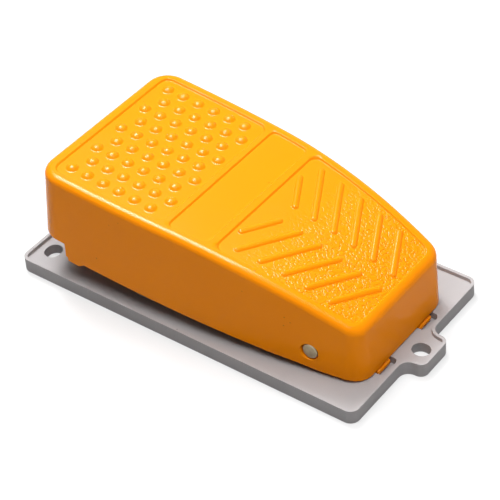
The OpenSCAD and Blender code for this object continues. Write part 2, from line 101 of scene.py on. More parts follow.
# Lower edge of the wall, the waves in it near the toe, and the stations where it steps
SKIRT_Z, STOP_PAD_Z, REAR_RELIEF_Z = 7.0, 5.1, 13.5
STOP_PAD_X, REAR_RELIEF_X, REAR_RELIEF_Y = (-58.9, -50.5), -59.8, 24.0
STEP, STOP_PAD_RUN = 0.4, 2.6
ARCH_X, ARCH_Z, ARCH_R = -68.0, 22.0, 12.0
SKIRT_WAVES, SKIRT_WAVES_X = ((0.16, 0.29, 0), (0.09, 1.7, 1), (0.06, 3.1, -2)), (20, 50)
SKIRT_STEPS_X = (-60.4, -60.0, -59.7, -59.0, -58.7, -58.4, -53.1, -50.5)
SKIRT_STEPS_Y = (12.15, 16, 20, 23.9, 24.2, 28, 31)

# Counterbore of the pin: its radius, its softened lip, its floor below the pin's end and the hole in it
BORE_R, BORE_LIP, BORE_FLOOR, PIN_HOLE_R = 3.85, 0.3, 0.62, 3.2
PIN_WINDOW_X, PIN_WINDOW_ROWS = (50, 63), (15, 23)

# Sunk panels, each with its two ends and its corner radius, and the border round them
PANELS = [(-69.4, -14.6, 4.0), (-11.6, 6.7, 2.6), (10.2, 72.4, 4.0)]
PANEL_D, BORDER, SHORT_PANEL = 0.8, 4.8, 30

# Round studs in staggered rows, and slanting bars, each with its two ends on one side
DOMES = [
    (-63.7 + 8.1 * (col + (row % 2) / 2), 7.9 * (4 - row)) for row in range(9) for col in range(6)
]
DOME_FOOT = 0.45
BARS = [((13.0, 20.0), (21.0, 5.3))] + [
    ((17.6 + 10.35 * i, 29.0 - 1.15 * i), (30.5 + 9.5 * i, 5.0)) for i in range(5)
]
BAR_CROWN_R, BAR_HALF_W, BAR_FOOT = 1.62, 1.58, 0.3

# What the deck's triangles follow: steps across a panel's edge in shares of its width, rings round a
# stud of the given foot width, each with its number of points, and lines beside the middle of a bar
PANEL_STEPS = (0.55, 0.3, 0.1, -0.1, -0.3, -0.55, -0.9)
DOME_RINGS = ((3.15, 24), (2.8, 24), (2.45, 24), (2.1, 24), (1.6, 18), (1.0, 12), (0.4, 6))
DOME_RINGS_WIDTH = 5.2
BAR_STEPS = (1.6, 1.35, 1.1, 0.8, 0.45, 0.0)
GRID_X, GRID_Y = 2.2, 2.0

# A hub of the pin: place along it, radius, and the parts of the normal that point out and along
HUB_PROFILE = (
    (33, 6.5, 1, 0), (28.6, 6.5, 1, 0), (28.2, 6.1, 0.5, -1), (28.2, 3.5, 0, -1), (28.2, 3.5, -1, 0),
    (32, 3.5, -1, 0),
)
BOSS_SOFT = 0.4

# Below the deck: height range and radius of a spring's seat and of the stud in it, and of the
# actuator's boss, and the two steps of a lug below the toe, each with its reach, height and rounding
SEAT_X, SEAT_Y = -50, 25
SEAT, SEAT_STUD = (49.5, 52.4, 8.5), (46.5, 50.5, 2.9)
BOSS_X, BOSS = 17, (36, 42.4, 5.5)
LUG_X, LUG_Z, LUG_STEPS = 76.3, 3.8, ((78.7, 8.8, 0.5), (80.1, 6.2, 0.8))

# The pin: its grooves for the clips, its chamfer, and how far its ends stand inside the walls
CLIP_GROOVE, CLIP_GROOVE_R = (16.7, 17.7), 2.5
PIN_CHAMFER, PIN_SUNK = 0.4, 0.35


def deck_half(x):
    """Half width of the deck at a place along it."""
    x = np.asarray(x, float)
    waist = HALF_W - (WAIST_X - SHOULDER_X) ** 2 / 2 / REAR_CURVE
    slope = (WAIST_X - SHOULDER_X) / REAR_CURVE
    ahead = np.maximum(x - WAIST_X, 0)
    rear = HALF_W - np.maximum(x - SHOULDER_X, 0) ** 2 / 2 / REAR_CURVE
    return np.where(x < WAIST_X, rear, waist - slope * ahead - ahead**2 / 2 / TOE_CURVE)


def deck_z(x):
    """Height of the deck's border at a place along it."""
    run = np.maximum(np.asarray(x, float) - DECK_BEND_X, 0)
    return DECK_Z - DECK_R + np.sqrt(DECK_R**2 - run**2)


def swell(a, b, k):
    """The larger of a and b, with the corner between them rounded."""
    return np.maximum(a, b) + np.maximum(k - np.abs(a - b), 0) ** 2 / 4 / k


def ramp(x, start, run):
    """0 up to start, and from there up to 1 over a run."""
    return np.clip((x - start) / run, 0, 1)


def panel_depth(x, y, edge):
    """How far the deck is sunk at each point, with the panels' edges rounded over a width."""
    depth = np.zeros_like(x)
    for x0, x1, r in PANELS:
        qx = np.maximum(x0 - x, x - x1) + r
        qy = np.abs(y) - (deck_half(x) - BORDER) + r
        out = np.minimum(np.maximum(qx, qy), 0) + np.hypot(np.maximum(qx, 0), np.maximum(qy, 0)) - r
        t = np.clip(0.5 - out / edge, 0, 1)
        depth = np.maximum(depth, PANEL_D * t * t * (3 - 2 * t))
    return depth


def relief(x, y, look):
    """Height of studs and bars above the floor of the panels."""
    height = np.zeros_like(x)

    def raise_cap(away, reach, ball, top, foot):
        """Adds the round top of a ball or a bar, by the distance from its middle."""
        near = away < reach
        cap = np.sqrt(ball**2 - away[near] ** 2) - ball + top
        height[near] = np.maximum(height[near], swell(cap, 0 * cap, foot))

    ball = (look.dome_width**2 / 4 + look.dome_height**2) / 2 / look.dome_height
    for cx, cy in DOMES:
        raise_cap(np.hypot(x - cx, y - cy), ball * 0.98, ball, look.dome_height, DOME_FOOT)
    for side in (-1, 1):
        for (ax, ay), (bx, by) in BARS:
            dx, dy = bx - ax, (by - ay) * side
            t = np.clip(((x - ax) * dx + (y - ay * side) * dy) / (dx * dx + dy * dy), 0, 1)
            away = np.hypot(x - ax - t * dx, y - ay * side - t * dy)
            raise_cap(away, BAR_HALF_W, BAR_CROWN_R, look.bar_height, BAR_FOOT)
    return height


def deck_surface(x, y, look):
    """Height of the deck's upper side."""
    return deck_z(x) - panel_depth(x, y, look.panel_edge) + relief(x, y, look)


def arc(cx, cy, r, a0, a1, n):
    """Points of an arc, in degrees."""
    a = np.radians(np.linspace(a0, a1, n + 1))
    return np.stack([cx + r * np.cos(a), cy + r * np.sin(a)], 1)


def half_outline(x0, x1, grow, r0, r1, share, corner, ends):
    """Half of a rounded outline that follows the pedal's sides, from the rear face round to the toe face.
    share places the stations of the side, corner counts those of each corner, and ends gives the half
    widths of those across the rear face, and those across the toe face as shares of it."""
    turn = math.radians(TOE_TURN)
    start = x0 + r0
    end = x1 - r1 + r1 * math.cos(turn)
    rear_y = float(deck_half(start)) + grow - r0
    toe_y = float(deck_half(end)) + grow - r1 * math.sin(turn)
    side = start + (end - start) * np.asarray(share)
    rear = [(x0, y) for y in ends[0] if y < rear_y - 0.2]
    toe = [(x1, toe_y * t) for t in ends[1]]
    return np.concatenate([
        rear,
        arc(start, rear_y, r0, 180, 90, corner),
        np.stack([side, deck_half(side) + grow], 1),
        arc(x1 - r1, toe_y, r1, TOE_TURN, 0, corner),
        toe[::-1],
    ])


# ---- Meshes ----


def linked(name, data):
    """An object for a mesh, a light or a camera, linked to the scene."""
    made = bpy.data.objects.new(name, data)
    bpy.context.scene.collection.objects.link(made)
    return made


def full_turn(count):
    """Angles spaced evenly round a circle."""
    return np.linspace(0, 2 * math.pi, count, endpoint=False)


def unit(v):
    """Vectors brought to a length of 1."""
    return v / np.maximum(np.linalg.norm(v, axis=-1, keepdims=True), 1e-12)


def both(points):
    """A half outline and its mirror image, as one closed loop."""
    other = points[::-1] * [1, -1]
    return np.concatenate([points, other[np.abs(other[:, 1]) > 1e-6]])


def rest_place():
    """Turns what is drawn at the pressed position into the rest position."""
    pivot = Vector((PIVOT_X, 0, PIVOT_Z)) * MM
    return Matrix.Translation(pivot) @ Matrix.Rotation(REST_TILT, 4, "Y") @ Matrix.Translation(-pivot)


def without_repeats(corners):
    """The corners of a face without those that equal the one before."""
    return [c for i, c in enumerate(corners) if c != corners[i - 1]]


class Skin:
    """Collects the points, normals and faces of a piece, in millimetres."""

    def __init__(self):
        self.points, self.normals, self.faces = [], [], []

    def add(self, points, normals):
        """Adds points with their normals, and gives their numbers."""
        first = len(self.points)
        self.points.extend(np.asarray(points, float).tolist())
        self.normals.extend(np.asarray(normals, float).tolist())
        return list(range(first, len(self.points)))

    def face(self, corners):
        """Adds a face, unless its corners fall together."""
        kept = without_repeats(corners)
        if len(kept) > 2:
            self.faces.append(kept)

    def bridge(self, a, b):
        """Quads between two closed rings of the same length."""
        for i in range(len(a)):
            j = (i + 1) % len(a)
            self.face([a[i], a[j], b[j], b[i]])

    def fill(self, loops, flat, extra, surface):
        """Triangles between closed loops of point numbers. flat gives their places in the plane, and extra
        adds points inside, which surface turns into places and normals."""
        ids = [i for loop in loops for i in loop]
        plane = [Vector(flat[i]) for i in ids]
        edges, n = [], 0
        for loop in loops:
            edges += [(n + i, n + (i + 1) % len(loop)) for i in range(len(loop))]
            n += len(loop)
        if len(extra):
            extra = extra[self.within(extra, loops, flat)]
            ids += self.add(*surface(extra))
            plane += [Vector(p) for p in extra]
        out = delaunay_2d_cdt(plane, edges, [], 0, 1e-6, True)
        where = [ids[o[0]] if o else None for o in out[3]]
        triangles = [t for t in out[2] if all(where[i] is not None for i in t)]
        middle = np.array([sum((out[0][i] for i in t), Vector((0, 0))) / 3 for t in triangles])
        for inside, t in zip(self.within(middle, loops, flat), triangles):
            if inside:
                self.face([where[i] for i in t])

    @staticmethod
    def within(points, loops, flat):
        """Which points lie inside an odd number of the loops."""
        odd = np.zeros(len(points), bool)
        for loop in loops:
            p = np.array([flat[i] for i in loop], float)
            q = np.roll(p, -1, 0)
            for a, b in zip(p, q):
                if a[1] != b[1]:
                    hit = (points[:, 1] > min(a[1], b[1])) & (points[:, 1] <= max(a[1], b[1]))
                    cut = a[0] + (points[:, 1] - a[1]) * (b[0] - a[0]) / (b[1] - a[1])
                    odd ^= hit & (points[:, 0] < cut)
        return odd

    def object(self, name, materials, place=Matrix.Identity(4)):
        """Welds what meets and makes the object, in metres."""
        seen, ids, points, normals = {}, [], [], []
        for p, n in zip(self.points, self.normals):
            key = (*(round(v, 4) for v in p), *(round(v, 1) for v in n))
            if key not in seen:
                seen[key] = len(points)
                points.append(Vector(p) * MM)
                normals.append(Vector(n))
            ids.append(seen[key])
        faces = []
        for f in self.faces:
            f = without_repeats([ids[i] for i in f])
            if len(set(f)) > 2 and len(set(f)) == len(f):
                facing = sum((points[a].cross(points[b]) for a, b in zip(f, f[1:] + f[:1])), Vector())
                outside = sum((normals[i] for i in f), Vector())
                faces.append(f if facing.dot(outside) > 0 else f[::-1])
        mesh = bpy.data.meshes.new(name)
        mesh.from_pydata([place @ p for p in points], [], faces)
        mesh.update()
        for m in materials:
            mesh.materials.append(m)
        mesh.polygons.foreach_set("use_smooth", [True] * len(mesh.polygons))
        turn = place.to_3x3()
        mesh.normals_split_custom_set_from_vertices([(turn @ n).normalized() for n in normals])
        return linked(name, mesh)


# ---- The pedal ----


def skirt_low(x, y):
    """Lower edge of the skirt, with its stop pads, rear reliefs and cable arch."""
    y = np.abs(y)
    ragged = sum(height * np.sin(x * along + y * across) for height, along, across in SKIRT_WAVES)
    wave_start, wave_full = SKIRT_WAVES_X
    low = SKIRT_Z + ragged * ramp(x, wave_start, wave_full - wave_start)
    pad_start, pad_end = STOP_PAD_X
    low = low + (STOP_PAD_Z - low) * ramp(x, pad_start, STEP) * ramp(-x, -pad_end, STOP_PAD_RUN)
    low = low + (REAR_RELIEF_Z - low) * ramp(-x, -REAR_RELIEF_X, STEP) * ramp(y, REAR_RELIEF_Y, STEP)
    arch = ARCH_Z + np.sqrt(np.maximum(ARCH_R**2 - y**2, 0))
    return np.where((x < ARCH_X) & (y <= ARCH_R), arch, low)


def top_loops():
    """Stations round the pedal: the outline where the deck meets the wall and where the wall ends."""
    start = REAR_X + REAR_R
    run = TOE_X - TOE_R * (1 - math.cos(math.radians(TOE_TURN))) - start
    steps = [(x - start) / run for x in SKIRT_STEPS_X]
    share = np.unique(np.concatenate([np.linspace(0, 1, 112)[1:-1], steps]))
    arch = ARCH_R * np.sin(np.radians(np.linspace(0, 90, 14)))
    ends = (np.concatenate([arch, SKIRT_STEPS_Y]), np.linspace(0, 0.9, 8))
    grow = DRAFT * (DECK_Z - SKIRT_Z)
    head = half_outline(REAR_X, TOE_X, 0, REAR_R, TOE_R, share, 16, ends)
    foot = half_outline(REAR_X, TOE_X + TOE_LEAN, grow, REAR_R, TOE_FOOT_R, share, 16, ends)
    return head, foot


def wall_points(head, foot, z):
    """Points of the wall at a height above each station."""
    top = deck_z(head[:, 0])
    f = ((top - z) / (top - SKIRT_Z))[:, None]
    return head + (foot - head) * f


def wall_half(head, foot, x, z):
    """Half width of the wall at a place along it and a height."""
    flat = wall_points(head, foot, np.full(len(head), z))[20:-20]
    return float(np.interp(x, flat[:, 0], flat[:, 1]))


def outward(flat):
    """Outward normals of a half outline, taken as if its mirror image carried it on."""
    before = np.concatenate([flat[1:2] * [1, -1], flat[:-1]])
    after = np.concatenate([flat[1:], flat[-2:-1] * [1, -1]])
    run = unit(after - before)
    return np.stack([-run[:, 1], run[:, 0]], 1)


def add_half(skin, flat, z, normal, mirror):
    """Adds one ring of stations, or its mirror image."""
    s = np.array([1, -1 if mirror else 1, 1])
    return skin.add(np.column_stack([flat, z]) * s, unit(normal) * s)


def build_shell(skin, look):
    """The rounded edge, the wall, its lip and its inner side, as rings of stations from the deck down the
    outside and up the inside. Gives the rims that the deck and its underside are filled from."""
    head, foot = top_loops()
    top = deck_z(head[:, 0])
    wall_z = top - EDGE_R
    wall_flat = wall_points(head, foot, wall_z)
    normal = outward(wall_flat)
    lean = (foot - head) / (top - SKIRT_Z)[:, None]
    wall_n = unit(np.column_stack([normal, (lean * normal).sum(1)]))
    run = np.linspace(-80, 90, 1701)
    slope = np.interp(head[:, 0], run, np.gradient(deck_z(run), 0.1))
    deck_n = unit(np.column_stack([-slope, 0 * top, 1 + 0 * top]))
    low = skirt_low(wall_flat[:, 0], wall_flat[:, 1])
    lip_z = low + look.lip
    inner_z = wall_z - INNER_DROP
    window = [i for i, x in enumerate(wall_flat[:, 0]) if PIN_WINDOW_X[0] < x < PIN_WINDOW_X[1]]
    left, right = window[0], window[-1] + 1
    upper, lower = PIN_WINDOW_ROWS
    edge, under = {}, {}
    for mirror in (False, True):
        rings = []

        def ring(flat, z, n):
            """Adds the next ring of this half."""
            rings.append(add_half(skin, flat, z, n, mirror))

        for t in np.radians(np.linspace(0, 90, EDGE_STEPS + 1)[::-1]):
            flat = wall_flat - normal * EDGE_R * (1 - math.cos(t))
            z = deck_z(flat[:, 0]) - EDGE_R * (1 - math.sin(t))
            ring(flat, z, wall_n * math.cos(t) + deck_n * math.sin(t))
        for k in range(1, WALL_ROWS + 1):
            z = wall_z + (lip_z - wall_z) * k / WALL_ROWS
            ring(wall_points(head, foot, z), z, wall_n)
        for t in np.radians([30, 60, 90]):
            flat = wall_points(head, foot, lip_z) - normal * look.lip * (1 - math.cos(t))
            z = lip_z - look.lip * math.sin(t)
            ring(flat, z, wall_n * math.cos(t) + np.array([0, 0, -math.sin(t)]))
        for z, depth, up in (
            (low, WALL - look.lip, -1), (lip_z, WALL, 0), ((low + inner_z) / 2, WALL, 0), (inner_z, WALL, 0),
        ):
            n = np.column_stack([-normal * (1 - abs(up)), 0 * top + up])
            ring(wall_points(head, foot, z) - normal * depth, z, n)
        inner = wall_flat - normal * (WALL + INNER_TURN)
        ring(inner, deck_z(inner[:, 0]) - PANEL_D - DECK_T, np.tile([0, 0, -1.0], (len(head), 1)))
        edge[mirror], under[mirror] = rings[0], rings[-1]
        for k, (a, b) in enumerate(zip(rings, rings[1:])):
            gap = window if upper <= k < lower else []
            for i in range(len(head) - 1):
                if i not in gap:
                    skin.face([a[i], a[i + 1], b[i + 1], b[i]])
        border = [rings[upper][i] for i in range(left, right + 1)]
        border += [rings[k][right] for k in range(upper + 1, lower + 1)]
        border += [rings[lower][i] for i in range(right - 1, left - 1, -1)]
        border += [rings[k][left] for k in range(lower - 1, upper, -1)]
        side = -1 if mirror else 1
        build_pin_bore(skin, (head, foot), border, wall_n[(left + right) // 2] * [1, side, 1], side)
    return edge, under


def build_pin_bore(skin, wall, border, facing, side):
    """Counterbore of the pin: the wall from the border of its window in, the lip, the bore and its floor."""
    turn = full_turn(48)
    radial = -np.column_stack([np.cos(turn), 0 * turn, np.sin(turn)])
    flush = np.tile(facing, (len(turn), 1))
    along = np.tile([0, float(side), 0], (len(turn), 1))

    def ring(r, sunk, normals):
        """A ring sunk below the wall's face, or on the floor where no depth is given."""
        x, z = PIVOT_X + r * np.cos(turn), PIVOT_Z + r * np.sin(turn)
        if sunk is None:
            y = PIN_END - BORE_FLOOR + 0 * x
        else:
            y = np.array([wall_half(*wall, *p) - sunk for p in zip(x, z)])
        return skin.add(np.column_stack([x, y * side, z]), normals)

    lip = ring(BORE_R + BORE_LIP, 0, flush)
    skin.fill([border, lip], {i: (skin.points[i][0], skin.points[i][2]) for i in border + lip}, [], None)
    mid = ring(BORE_R + 0.08, 0.1, unit(flush + radial))
    bore = ring(BORE_R, 0.35, radial)
    bottom = ring(BORE_R, None, radial)
    skin.bridge(lip, mid)
    skin.bridge(mid, bore)
    skin.bridge(bore, bottom)
    skin.bridge(ring(BORE_R, None, along), ring(PIN_HOLE_R, None, along))


def bar_guides(a, b):
    """Points on a bar, in lines along it and round its ends."""
    length = np.linalg.norm(b - a)
    run = (b - a) / length
    across = np.array([-run[1], run[0]])
    count = int(length / 0.9)
    start = math.atan2(across[1], across[0])
    points = []
    for r in BAR_STEPS:
        for s in (-1, 1) if r else (1,):
            points += [tuple(a + (b - a) * t / count + across * r * s) for t in range(count + 1)]
        for centre, s in ((a, 1), (b, -1)) if r else ():
            turn = start + s * np.linspace(0, math.pi, 9)[1:-1]
            points += [tuple(centre + r * np.array([math.cos(t), math.sin(t)])) for t in turn]
    return points


def deck_guides(look):
    """Closed loops in the plane that the deck's triangles follow, points on its relief, and a loose grid."""
    loops, points = [], []
    share = np.linspace(0, 1, 48)[1:-1]
    ends = (np.linspace(0, 31.5, 36), np.linspace(0, 0.97, 30))
    for x0, x1, r in PANELS:
        xs = share if x1 - x0 > SHORT_PANEL else share[::3]
        for step in PANEL_STEPS:
            d = step * look.panel_edge
            loops.append(both(half_outline(x0 - d, x1 + d, -BORDER + d, r + d, r + d, xs, 8, ends)))
    for cx, cy in DOMES:
        for r, count in DOME_RINGS:
            r = r * look.dome_width / DOME_RINGS_WIDTH
            points += [(cx + r * math.cos(a), cy + r * math.sin(a)) for a in full_turn(count) + r]
        points.append((cx, cy))
    for side in (-1, 1):
        for a, b in BARS:
            points += bar_guides(np.array([a[0], a[1] * side]), np.array([b[0], b[1] * side]))
    rows = np.arange(-41, 42, GRID_Y)
    grid = [(x + GRID_X / 2 * (k % 2), y) for k, y in enumerate(rows) for x in np.arange(-73, 76, GRID_X)]
    return loops, np.array(points), np.array(grid)


def clear_of(points, others, gap):
    """The points that are further than gap from all the others."""
    tree = KDTree(len(others))
    for i, (x, y) in enumerate(others):
        tree.insert((x, y, 0), i)
    tree.balance()
    return points[[tree.find((x, y, 0))[2] > gap for x, y in points]]


def whole(skin, ring):
    """Both halves of a ring as one loop, and the places of its points in the plane."""
    rim = ring[False] + [i for i in ring[True][::-1] if abs(skin.points[i][1]) > 1e-6]
    return rim, {i: tuple(skin.points[i][:2]) for i in rim}


def build_deck(skin, edge, look):
    """The deck inside its rounded edge, with its panels, studs and bars."""
    rim, flat = whole(skin, edge)
    loops, points, grid = deck_guides(look)

    def surface(flat):
        """Places and normals on the deck."""
        x, y = flat[:, 0], flat[:, 1]
        h = 0.02
        dx = (deck_surface(x + h, y, look) - deck_surface(x - h, y, look)) / 2 / h
        dy = (deck_surface(x, y + h, look) - deck_surface(x, y - h, look)) / 2 / h
        return np.column_stack([x, y, deck_surface(x, y, look)]), unit(np.column_stack([-dx, -dy, 1 + 0 * x]))

    outline = np.array([flat[i] for i in rim])
    guide = np.concatenate(loops)
    grid = clear_of(grid, np.concatenate([guide, points]), 0.9)
    points = clear_of(points, guide, 0.08)
    extra = clear_of(np.concatenate([guide, points, grid]), outline, 0.3)
    skin.fill([rim], flat, extra, surface)


def build_ceiling(skin, under):
    """The underside of the deck, seen only from below."""
    rim, flat = whole(skin, under)

    def surface(flat):
        """Places and normals on the underside."""
        x = flat[:, 0]
        slope = (deck_z(x + 0.1) - deck_z(x - 0.1)) / 0.2
        normals = unit(np.column_stack([slope, 0 * x, -1 + 0 * x]))
        return np.column_stack([flat, deck_z(x) - PANEL_D - DECK_T]), normals

    grid = np.array([(x, y) for x in np.arange(-68, 74, 5.0) for y in np.arange(-36, 37, 6.0)])
    skin.fill([rim], flat, grid, surface)


def finish_chevron(piece):
    """Gives the floor of the panel with the bars its own, rougher paint."""
    place = rest_place().inverted()
    x0, x1, _ = PANELS[2]
    spill = 0.3
    for f in piece.data.polygons:
        c = place @ f.center / MM
        rise = c.z - float(deck_z(c.x)) + PANEL_D
        inside = x0 - spill < c.x < x1 + spill and abs(c.y) < float(deck_half(c.x)) - BORDER + spill
        if inside and -0.4 < rise < 0.12:
            f.material_index = 1


def turned_ring(skin, axis, centre, count, along, r, out, lift):
    """One ring of a turned shape round the y axis (1) or the z axis (2), at a place along it. out and lift
    are the parts of its normals that point away from the axis and along it."""
    turn = full_turn(count)
    round_axis = np.column_stack([np.cos(turn), np.sin(turn)])
    points = np.insert(round_axis * r + centre, axis, along, 1)
    return skin.add(points, unit(np.insert(round_axis * out, axis, lift, 1) + 1e-9))


def round_boss(skin, x, y, low, high, r):
    """A boss that hangs down, with a softened edge."""
    chamfer = BOSS_SOFT * 0.3
    profile = (
        (high, r, 1, 0), (low + BOSS_SOFT, r, 1, 0), (low + chamfer, r - chamfer, 0.7, -0.7),
        (low, r - BOSS_SOFT, 0, -1),
    )
    rings = [turned_ring(skin, 2, (x, y), 32, *row) for row in profile]
    for a, b in zip(rings, rings[1:]):
        skin.bridge(a, b)
    skin.face(rings[-1])


def block(skin, low, high, soft=0.3):
    """A bar with its edges cut back a little, closed on all sides."""
    bm = bmesh.new()
    bmesh.ops.create_cube(bm, size=1)
    low, high = Vector(low), Vector(high)
    for v in bm.verts:
        v.co = Vector([(low[i] + high[i]) / 2 + v.co[i] * (high[i] - low[i]) for i in range(3)])
    bmesh.ops.bevel(bm, geom=list(bm.edges), offset=soft, segments=2, profile=0.5, affect="EDGES")
    bm.normal_update()
    for f in bm.faces:
        skin.face(skin.add([v.co for v in f.verts], [f.normal for v in f.verts]))
    bm.free()


def build_under(skin):
    """Ribs, lugs and the actuator's boss below the deck."""
    z = DECK_Z - PANEL_D - DECK_T
    for y in (-14, 14):
        block(skin, (-66, y - 0.9, z - 3.5), (-6, y + 0.9, z + 1))
    for x in (-36, -10):
        block(skin, (x, -36, z - 2.5), (x + 1.8, 36, z + 1))
    for y0, y1 in ((-19.6, -10.6), (10.6, 19.6)):
        for reach, top, soft in LUG_STEPS:
            block(skin, (LUG_X, y0, LUG_Z), (reach, y1, top), soft)
    round_boss(skin, BOSS_X, 0, *BOSS)


def build_hubs(skin):
    """Bosses of the pin and seats of the springs, which are square to the base."""
    for s in (-1, 1):
        rings = [
            turned_ring(skin, 1, (PIVOT_X, PIVOT_Z), 40, y * s, r, out, lift * s)
            for y, r, out, lift in HUB_PROFILE
        ]
        for k in (0, 1, 2, 4):
            skin.bridge(rings[k], rings[k + 1])
        round_boss(skin, SEAT_X, SEAT_Y * s, *SEAT)
        round_boss(skin, SEAT_X, SEAT_Y * s, *SEAT_STUD)


def build_pin(skin):
    """The pin, turned between its grooves and faced off a little inside the walls."""
    end, r = wall_half(*top_loops(), PIVOT_X, PIVOT_Z) - PIN_SUNK, PIN_D / 2
    near, far = CLIP_GROOVE
    half = [(near, r), (near, CLIP_GROOVE_R), (far, CLIP_GROOVE_R), (far, r), (end - PIN_CHAMFER, r)]
    steps = [(-y, k) for y, k in half[::-1]] + half

    def ring(*row):
        """A ring at a place along the pin, with its radius and the parts of its normal."""
        return turned_ring(skin, 1, (PIVOT_X, PIVOT_Z), 48, *row)

    for (y0, r0), (y1, r1) in zip(steps, steps[1:]):
        out, along = (1, 0) if r0 == r1 else (0, 1 if r1 < r0 else -1)
        skin.bridge(ring(y0, r0, out, along), ring(y1, r1, out, along))
    for s in (-1, 1):
        skin.bridge(ring(s * (end - PIN_CHAMFER), r, 1, s), ring(s * end, r - PIN_CHAMFER, 1, s))
        skin.face(ring(s * end, r - PIN_CHAMFER, 0, s))


# ---- The springs ----


def coil_mesh(name, places, z0, z1, wire, turns, radius, material):
    """Round wire coils with a closed turn at each end, on one mesh."""
    around, along = 10, 28
    n = int((turns + 2) * along)
    t = np.arange(n + 1)[:, None] / along
    free = z1 - z0 - wire
    rise = np.interp(t, (0, 1, turns + 1, turns + 2), (0, wire, free - wire, free))
    a, b = 2 * math.pi * t, full_turn(around)
    reach = radius + wire / 2 * np.cos(b)
    z = z0 + wire / 2 + rise + wire / 2 * np.sin(b)
    points, faces = [], []
    for cx, cy in places:
        rings = (len(points) + np.arange((n + 1) * around)).reshape(n + 1, around).tolist()
        coil = np.stack([cx + reach * np.cos(a), cy + reach * np.sin(a), z], 2) * MM
        points += coil.reshape(-1, 3).tolist()
        for low, high in zip(rings, rings[1:]):
            faces += [(low[j - 1], low[j], high[j], high[j - 1]) for j in range(around)]
        faces += [rings[0][::-1], rings[-1]]
    mesh = bpy.data.meshes.new(name)
    mesh.from_pydata(points, [], faces)
    mesh.polygons.foreach_set("use_smooth", [True] * len(mesh.polygons))
    mesh.materials.append(material)
    return linked(name, mesh)


# ---- Shader groups, with noise in cells per metre ----


def feed(tree, made, **values):
    """Sets or links a node's sockets, by name with _ for a space, or by number as i0, i1 and so on."""
    for key, value in values.items():
        numbered = key[0] == "i" and key[1:].isdigit()
        socket = made.inputs[int(key[1:]) if numbered else key.replace("_", " ")]
        if isinstance(value, bpy.types.NodeSocket):
            tree.links.new(value, socket)
        else:
            socket.default_value = value


def node(tree, kind, **values):
    """A node with its settings, which start with _, and its sockets."""
    made = tree.nodes.new("ShaderNode" + kind)
    for key in [k for k in values if k.startswith("_")]:
        setattr(made, key[1:], values.pop(key))
    feed(tree, made, **values)
    return made


def calc(tree, operation, *values):
    """Result of a sum on values or sockets."""
    sockets = {f"i{k}": value for k, value in enumerate(values)}
    return node(tree, "Math", _operation=operation, **sockets).outputs[0]


def noise(tree, at, scale, detail, roughness=0.5):
    """Value of a noise texture."""
    return node(tree, "TexNoise", Vector=at, Scale=scale, Detail=detail, Roughness=roughness).outputs[0]


def remap(tree, value, low, high, kind="LINEAR"):
    """0 at low and 1 at high."""
    return node(tree, "MapRange", _interpolation_type=kind, Value=value, i1=low, i2=high).outputs[0]


def between(tree, value, low, high):
    """Low at 0 and high at 1."""
    return node(tree, "MapRange", Value=value, i3=low, i4=high).outputs[0]


def mixed(tree, amount, color, other):
    """One colour turned into the other by an amount."""
    return node(tree, "Mix", _data_type="RGBA", i0=amount, i6=color, i7=other).outputs[2]


def new_group(name, inputs, outputs):
    """A shader node group with named sockets: its tree, the outputs of its entry, and its exit. inputs maps
    names to defaults, outputs maps names to types."""
    group = bpy.data.node_groups.new(name, "ShaderNodeTree")
    for label, value in inputs.items():
        kind = "Float" if isinstance(value, float) else "Color"
        socket = group.interface.new_socket(name=label, in_out="INPUT", socket_type="NodeSocket" + kind)
        socket.default_value = value
    for label, kind in outputs.items():
        group.interface.new_socket(name=label, in_out="OUTPUT", socket_type="NodeSocket" + kind)
    return group, group.nodes.new("NodeGroupInput").outputs, group.nodes.new("NodeGroupOutput")


def cast_grain_group():
    """Height of cast and painted metal: a soft orange peel, fine pits and, where asked, wrinkles that fade
    in along the object from a place on it."""
    group, given, leave = new_group(
        "Cast Grain",
        {"Peel": 0.3, "Pits": 0.2, "Wrinkles": 0.0, "Wrinkle Start": 0.02},
        {"Height": "Float"},
    )
    at = node(group, "TexCoord").outputs["Object"]
    peel = calc(group, "MULTIPLY", noise(group, at, 900.0, 2.0), given["Peel"])
    grain = calc(group, "MULTIPLY_ADD", noise(group, at, 2600.0, 3.0, 0.6), given["Pits"], peel)
    warp = node(group, "TexNoise", Vector=at, Scale=260.0, Detail=2.0).outputs["Color"]
    reach = (0.0022, 0.0022, 0.0022)
    bent = node(group, "VectorMath", _operation="MULTIPLY_ADD", i0=warp, i1=reach, i2=at).outputs[0]
    folds = noise(group, bent, 430.0, 1.5, 0.45)
    ridge = calc(group, "ABSOLUTE", calc(group, "SUBTRACT", folds, 0.5))
    wrinkles = remap(group, ridge, 0.0, 0.11, "SMOOTHSTEP")
    along = node(group, "SeparateXYZ", Vector=at).outputs[0]
    shifted = calc(group, "MULTIPLY_ADD", noise(group, at, 45.0, 1.0), 0.030, along)
    past = calc(group, "SUBTRACT", shifted, given["Wrinkle Start"])
    wrinkles = calc(group, "MULTIPLY", wrinkles, remap(group, past, 0.0, 0.040, "SMOOTHSTEP"))
    wrinkles = calc(group, "MULTIPLY", wrinkles, given["Wrinkles"])
    feed(group, leave, Height=calc(group, "ADD", grain, wrinkles))
    return group


